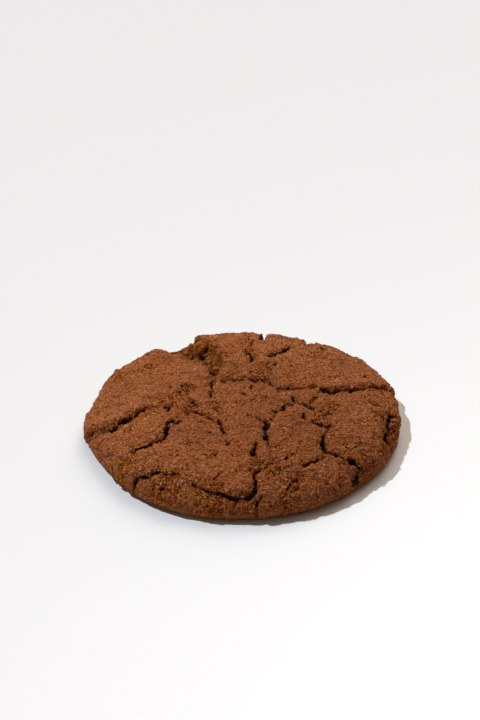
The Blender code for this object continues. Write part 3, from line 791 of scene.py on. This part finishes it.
    # broken skin away from the cracks
    patchy = centred(noiseAt("Lump length", 2.0, where=plan), "Uneven")
    broken = 0.0
    for px, py, reach in inMetres(brokenPatches):
        apart = node("VectorMath.DISTANCE", plan, (px, py, 0), out="Value")
        within = node("SUBTRACT", size["Patch size"], node("DIVIDE", apart, reach))
        broken = node("MAXIMUM", broken, within)
    broken = node("ADD", node("MULTIPLY", broken, size["Patch edge"]), patchy)
    broken = node("ShaderNodeClamp", broken)
    cookie = keep(cookie, torn=node("MAXIMUM", stored["torn"], broken))

    # hairline crazing in patches
    scale = node("DIVIDE", 1.0, size["Craze spacing"])
    craze = node("ShaderNodeTexVoronoi", {"Vector": stored["shaken"], "Scale": scale},
                 feature="DISTANCE_TO_EDGE")
    craze = node("MULTIPLY", craze, size["Craze spacing"])
    craze = node("ShaderNodeMapRange", craze, 0.0, size["Craze width"], 1.0, 0.0, **smooth)
    where = noiseAt("Lump length", 2.0)
    where = node("ShaderNodeMapRange", where, size["Craze from"], size["Craze to"], 0.0, 1.0, **smooth)
    craze = node("MULTIPLY", node("MULTIPLY", craze, where), size["Craze depth"])

    # pits where bubbles broke
    scale = node("DIVIDE", 1.0, size["Pit spacing"])
    pit = node("ShaderNodeTexVoronoi", {"Vector": place, "Scale": scale}, out=None)
    chance = node("ShaderNodeSeparateXYZ", pit.outputs["Color"])
    chance = node("ShaderNodeMapRange", chance, size["Pit from"], 1.0, 0.0, 1.0)
    radius = node("MULTIPLY", chance, size["Pit radius"])
    fromPit = node("MULTIPLY", pit.outputs["Distance"], size["Pit spacing"])
    inner = node("MULTIPLY", radius, 0.5)
    outer = node("ADD", radius, size["Pit edge"])
    pitCut = node("ShaderNodeMapRange", fromPit, inner, outer, 1.0, 0.0, **smooth)
    pitCut = node("MULTIPLY", pitCut, size["Pit depth"])
    pitCut = node("MULTIPLY", pitCut, node("GREATER_THAN", radius, size["Least pit"]))
    hollow = node("ADD", node("MAXIMUM", stored["cut"], craze), pitCut)
    # painted shade in the pits and the crazing, and less of all painted shade low on the rim
    deep = node("DIVIDE", node("ADD", craze, pitCut), size["Pit depth"])
    gloom = node("MAXIMUM", stored["gloom"], node("MULTIPLY", deep, size["Pit gloom"]))
    fade = node("ShaderNodeMapRange", z, size["Rim from"], size["Rim to"], size["Gloom on rim"], 1.0,
                **smooth)
    cookie = keep(cookie, gloom=node("MULTIPLY", gloom, fade))

    def knobsAt(length, amount, where, blend=None):
        # round knobs, each standing out by the amount, and blended into the next if that is asked for
        settings = {"Vector": where, "Scale": node("DIVIDE", 1.0, size[length])}
        if blend:
            settings["Smoothness"] = size[blend]
        apart = node("ShaderNodeTexVoronoi", settings, feature="SMOOTH_F1" if blend else "F1")
        above = node("SUBTRACT", size["Cell middle"], apart)
        return node("MULTIPLY", above, node("MULTIPLY", size[amount], 2.0))

    # loose lumps where a crack is wide
    lumps = knobsAt("Rubble length", "Rubble", stored["shaken"], "Rubble blend")
    lumps = node("MULTIPLY", lumps, stored["rubble"])
    bulk = 0.0
    for px, py, across, amount in inMetres(valleyLumps):
        apart = node("VectorMath.DISTANCE", stored["shaken"], (px, py, 0), out="Value")
        inside = node("SUBTRACT", 1.0, node("POWER", node("DIVIDE", apart, across), 2.0))
        inside = node("POWER", node("MAXIMUM", inside, 0.0), size["Lump rounding"])
        bulk = node("MAXIMUM", bulk, node("MULTIPLY", inside, amount))
    lumps = node("ADD", lumps, bulk)
    # less painted shade on the lumps that stand up in the rubble
    onLump = node("ShaderNodeClamp", node("DIVIDE", bulk, size["Lump cover"]))
    onLump = node("MULTIPLY", onLump, stored["rubble"])
    dimmed = node("MULTIPLY_ADD", onLump, size["Gloom on lumps"], 1.0)
    cookie = keep(cookie, gloom=node("MULTIPLY", stored["gloom"], dimmed))

    # relief, coarse to fine, with more knobs where the skin is torn
    rough = centred(noiseAt("Broad length"), "Broad")
    rough = node("ADD", rough, centred(noiseAt("Lump length"), "Lump"))
    rough = node("ADD", rough, centred(noiseAt("Knob length"), "Knob"))
    rough = node("ADD", rough, centred(noiseAt("Grain length", 2.0), "Grain"))
    rough = node("ADD", rough, knobsAt("Bead length", "Bead", place))
    knobs = knobsAt("Torn length", "Torn knob", place, "Torn blend")
    ragged = node("MULTIPLY_ADD", stored["rubble"], size["Torn in rubble"], 1.0)
    ragged = node("MULTIPLY", stored["torn"], ragged)
    rough = node("MULTIPLY_ADD", knobs, ragged, node("ADD", rough, lumps))

    # all of it along the surface, none of it at the base, and never through the cookie
    free = node("ShaderNodeMapRange", z, 0.0, size["Fade height"], 0.0, 1.0, **smooth)
    rise = node("ADD", node("ADD", rough, stored["lift"]), plates)
    rise = node("MULTIPLY", node("SUBTRACT", rise, hollow), free)
    lowest = node("MAXIMUM", z, size["Least thickness"])
    lowest = node("SUBTRACT", size["Least thickness"], lowest)
    rise = node("MAXIMUM", rise, lowest)
    push = node("VectorMath.SCALE", {0: node("GeometryNodeInputNormal"), "Scale": rise})

    # the outline in and out, and every point a little to one side
    distance = node("VectorMath.LENGTH", plan, out="Value")
    outer = node("MULTIPLY", size["Radius"], size["Outline from"])
    atEdge = node("ShaderNodeMapRange", distance, outer, size["Radius"], 0.0, 1.0, **smooth)
    uneven = centred(noiseAt("Outline length", 1.0, where=plan), "Outline")
    uneven = node("MULTIPLY", uneven, atEdge)
    shove = node("VectorMath.SCALE", {0: node("VectorMath.NORMALIZE", plan), "Scale": uneven})
    jitter = node("VectorMath.SUBTRACT", noiseAt("Jitter length", 1.0, out="Color"), (0.5, 0.5, 0.5))
    amount = node("MULTIPLY", free, node("MULTIPLY", size["Jitter"], 2.0))
    jitter = node("VectorMath.SCALE", {0: jitter, "Scale": amount})
    push = node("VectorMath.ADD", node("VectorMath.ADD", push, shove), jitter)
    cookie = node("GeometryNodeSetPosition", {"Geometry": cookie, "Offset": push})
    aboveBase = node("VectorMath.MAXIMUM", place, (-1, -1, 0))
    cookie = node("GeometryNodeSetPosition", {"Geometry": cookie, "Position": aboveBase})
    for name in ("lift", "cut", "shaken", "ragged", "uneven"):
        cookie = node("GeometryNodeRemoveAttribute", {"Geometry": cookie, "Name": name})
    cookie = node("GeometryNodeSetShadeSmooth", {"Geometry": cookie, "Shade Smooth": True})
    finishTree(tree, cookie, material)
    return tree


def centreOnBase(piece):
    # stands the piece centred on the origin, as the CAD node stands
    low = Vector([min(v.co[i] for v in piece.data.vertices) for i in range(3)])
    high = Vector([max(v.co[i] for v in piece.data.vertices) for i in range(3)])
    shift = -(low + high) / 2
    shift.z = -low.z
    piece.data.transform(Matrix.Translation(shift))
    return shift


def makeCookie(material):
    routes = crackRoutes()
    sizes = {**dough, "Cracks": len(cracks)}
    cookie = growPiece("crackledCookie", cookieTree(sizes, material), {**sizes, "Routes": routes})
    bpy.data.objects.remove(routes)
    fewer = cookie.modifiers.new("fewer", "DECIMATE")
    count = sum(len(face.vertices) - 2 for face in cookie.data.polygons)
    fewer.ratio = min(1.0, dough["mostTriangles"] / count)
    graph = bpy.context.evaluated_depsgraph_get()
    mesh = bpy.data.meshes.new_from_object(cookie.evaluated_get(graph))
    cookie.modifiers.clear()
    cookie.data = mesh
    mesh.shade_smooth()
    shift = centreOnBase(cookie)
    print("cookie:", count, "triangles made,", len(mesh.polygons), "kept, moved",
          [round(s / mm, 2) for s in shift], "mm")
    return cookie


crustMaterial = bakedCrust(crust)
cookie = makeCookie(crustMaterial)
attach(cookie, "root")
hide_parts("cookie")


# crumbs that stand loose on the torn edges

crumbs = {
    "On torn edges": 1.3,        # how many to a square millimetre
    "On the skin": 0.02,
    "Smallest": 0.25 * mm,
    "Largest": 0.70 * mm,
    "Few large": 2.2,            # the higher, the fewer of them are large
    "Sunk": 0.35,                # share of a crumb's size that is below the surface
    "Lowest": 3.2 * mm,          # none below this height
    "In the dark": -1.6,         # fewer deep in a crack, and fewer on its rubble
    "On rubble": -0.95,
    "flattest": (0.7, 0.7, 0.55),
    "fullest": (1.2, 1.2, 1.0),
    "dentScale": 2.3,
    "placeSeed": 4, "sizeSeed": 7, "shapeSeed": 8, "turnSeed": 9,
}


def placeGrains(tree, size, given, dense, grain, across):
    # So many to a square millimetre of the cookie, each turned, stretched and partly sunk. A random vector
    # lies between inputs 0 and 1 of its node, and a random number between 2 and 3.
    node = partial(addNode, tree)
    anyTurn = (6.28, 6.28, 6.28)
    surface = node("GeometryNodeObjectInfo", size["Cookie"], out="Geometry")
    dense = node("MULTIPLY", dense, 1 / mm ** 2)
    spots = node("GeometryNodeDistributePointsOnFaces",
                 {"Mesh": surface, "Density": dense, "Seed": given["placeSeed"]}, out=None)
    shape = node("FunctionNodeRandomValue",
                 {0: given["flattest"], 1: given["fullest"], "Seed": given["shapeSeed"]},
                 data_type="FLOAT_VECTOR")
    shape = node("VectorMath.SCALE", {0: shape, "Scale": across})
    turn = node("FunctionNodeRandomValue", {0: (0, 0, 0), 1: anyTurn, "Seed": given["turnSeed"]},
                data_type="FLOAT_VECTOR")
    placed = node("GeometryNodeInstanceOnPoints", {"Points": spots.outputs["Points"], "Instance": grain,
                                                   "Rotation": turn, "Scale": shape})
    above = node("MULTIPLY", across, node("SUBTRACT", 0.5, size["Sunk"]))
    above = node("VectorMath.SCALE", {0: spots.outputs["Normal"], "Scale": above})
    return node("GeometryNodeTranslateInstances",
                {"Instances": placed, "Translation": above, "Local Space": False})


def crumbTree(material):
    tree, size = newTree("scatterCrumbs", crumbs, objects=("Cookie",))
    node = partial(addNode, tree)
    place = node("GeometryNodeInputPosition")
    height = node("ShaderNodeSeparateXYZ", place, out="Z")
    torn, gloom, rubble = (node("GeometryNodeInputNamedAttribute", name, data_type="FLOAT")
                           for name in ("torn", "gloom", "rubble"))
    dense = node("POWER", torn, 2.0)
    dense = node("MULTIPLY_ADD", dense, size["On torn edges"], size["On the skin"])
    lit = node("ShaderNodeClamp", node("MULTIPLY_ADD", gloom, size["In the dark"], 1.0))
    dense = node("MULTIPLY", dense, lit)
    dense = node("MULTIPLY", dense, node("MULTIPLY_ADD", rubble, size["On rubble"], 1.0))
    dense = node("MULTIPLY", dense, node("GREATER_THAN", height, size["Lowest"]))
    crumb = node("GeometryNodeMeshIcoSphere", {"Radius": 0.5, "Subdivisions": 1})
    dent = node("ShaderNodeTexNoise", {"Vector": place, "Scale": crumbs["dentScale"], "Detail": 0.0},
                out="Color")
    dent = node("VectorMath.SUBTRACT", dent, (0.5, 0.5, 0.5))
    crumb = node("GeometryNodeSetPosition", {"Geometry": crumb, "Offset": dent})
    small = node("FunctionNodeRandomValue", {2: 0.0, 3: 1.0, "Seed": crumbs["sizeSeed"]}, out=1,
                 data_type="FLOAT")
    small = node("POWER", small, size["Few large"])
    reach = node("SUBTRACT", size["Largest"], size["Smallest"])
    across = node("MULTIPLY_ADD", small, reach, size["Smallest"])
    finishTree(tree, placeGrains(tree, size, crumbs, dense, crumb, across), material)
    return tree


looseCrumbs = growPiece("looseCrumbs", crumbTree(crustMaterial), {**crumbs, "Cookie": cookie})
print("crumbs:", len(looseCrumbs.data.polygons), "faces")
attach(looseCrumbs, "root")
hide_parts("cookie")


# sugar grains that didn't melt

sugar = {
    "colour": "C0907A",
    "roughness": 0.4,
    "ior": 1.54,
    "Smallest": 0.20 * mm,
    "Largest": 0.42 * mm,
    "In a cluster": 1.6,         # how many to a square millimetre at the middle of a cluster
    "Elsewhere": 0.002,
    "Sunk": 0.28,
    "Lowest": 2 * mm,
    "flattest": (0.7, 0.7, 0.6),
    "fullest": (1.0, 1.3, 1.0),
    "placeSeed": 11, "sizeSeed": 12, "shapeSeed": 13, "turnSeed": 14,
}

# x, y, radius, in millimetres
sugarClusters = (
    (-21.6, -35.6, 1.8),
    (-15, -37.2, 2.4),
    (-8.4, -41.6, 2.2),
    (-27, -31.2, 1.2),
    (-28.6, -26.4, 1.0),
    (-8.4, -3.8, 0.8),
    (33, -23.4, 1.0),
    (11, -36, 1.6),
)


def sugarCrystal(c):
    # Sugar crystals half sunk in the crust: clear and shiny, so they catch the light as small pale points.
    material = bpy.data.materials.new("sugarCrystal")
    material.use_nodes = True
    shader = material.node_tree.nodes["Principled BSDF"]
    shader.inputs["Base Color"].default_value = linearColour(c["colour"])
    shader.inputs["Roughness"].default_value = c["roughness"]
    shader.inputs["IOR"].default_value = c["ior"]
    return material


def sugarTree(material):
    tree, size = newTree("scatterSugar", sugar, objects=("Cookie",))
    node = partial(addNode, tree)
    x, y, z = node("ShaderNodeSeparateXYZ", node("GeometryNodeInputPosition"), out=None).outputs
    plan = node("ShaderNodeCombineXYZ", x, y)
    near = 0.0
    for px, py, reach in inMetres(sugarClusters):
        apart = node("VectorMath.DISTANCE", plan, (px, py, 0), out="Value")
        near = node("MAXIMUM", near, node("SUBTRACT", 1.0, node("DIVIDE", apart, reach)))
    dense = node("MULTIPLY_ADD", near, size["In a cluster"], size["Elsewhere"])
    dense = node("MULTIPLY", dense, node("GREATER_THAN", z, size["Lowest"]))
    across = node("FunctionNodeRandomValue",
                  {2: size["Smallest"], 3: size["Largest"], "Seed": sugar["sizeSeed"]},
                  out=1, data_type="FLOAT")
    crystal = node("GeometryNodeMeshCube", {"Size": (1, 1, 1)})
    finishTree(tree, placeGrains(tree, size, sugar, dense, crystal, across), material)
    return tree


sugarGrains = growPiece("sugarGrains", sugarTree(sugarCrystal(sugar)), {**sugar, "Cookie": cookie})
print("sugar:", len(sugarGrains.data.polygons) // 6, "grains")
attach(sugarGrains, "root")
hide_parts("cookie")


# floor

def makeFloor():
    bpy.ops.mesh.primitive_plane_add(size=6)
    floor = bpy.context.object
    floor.name = "floor"
    floor.data.materials.append(paleFloor(board))


makeFloor()
print("floor laid")
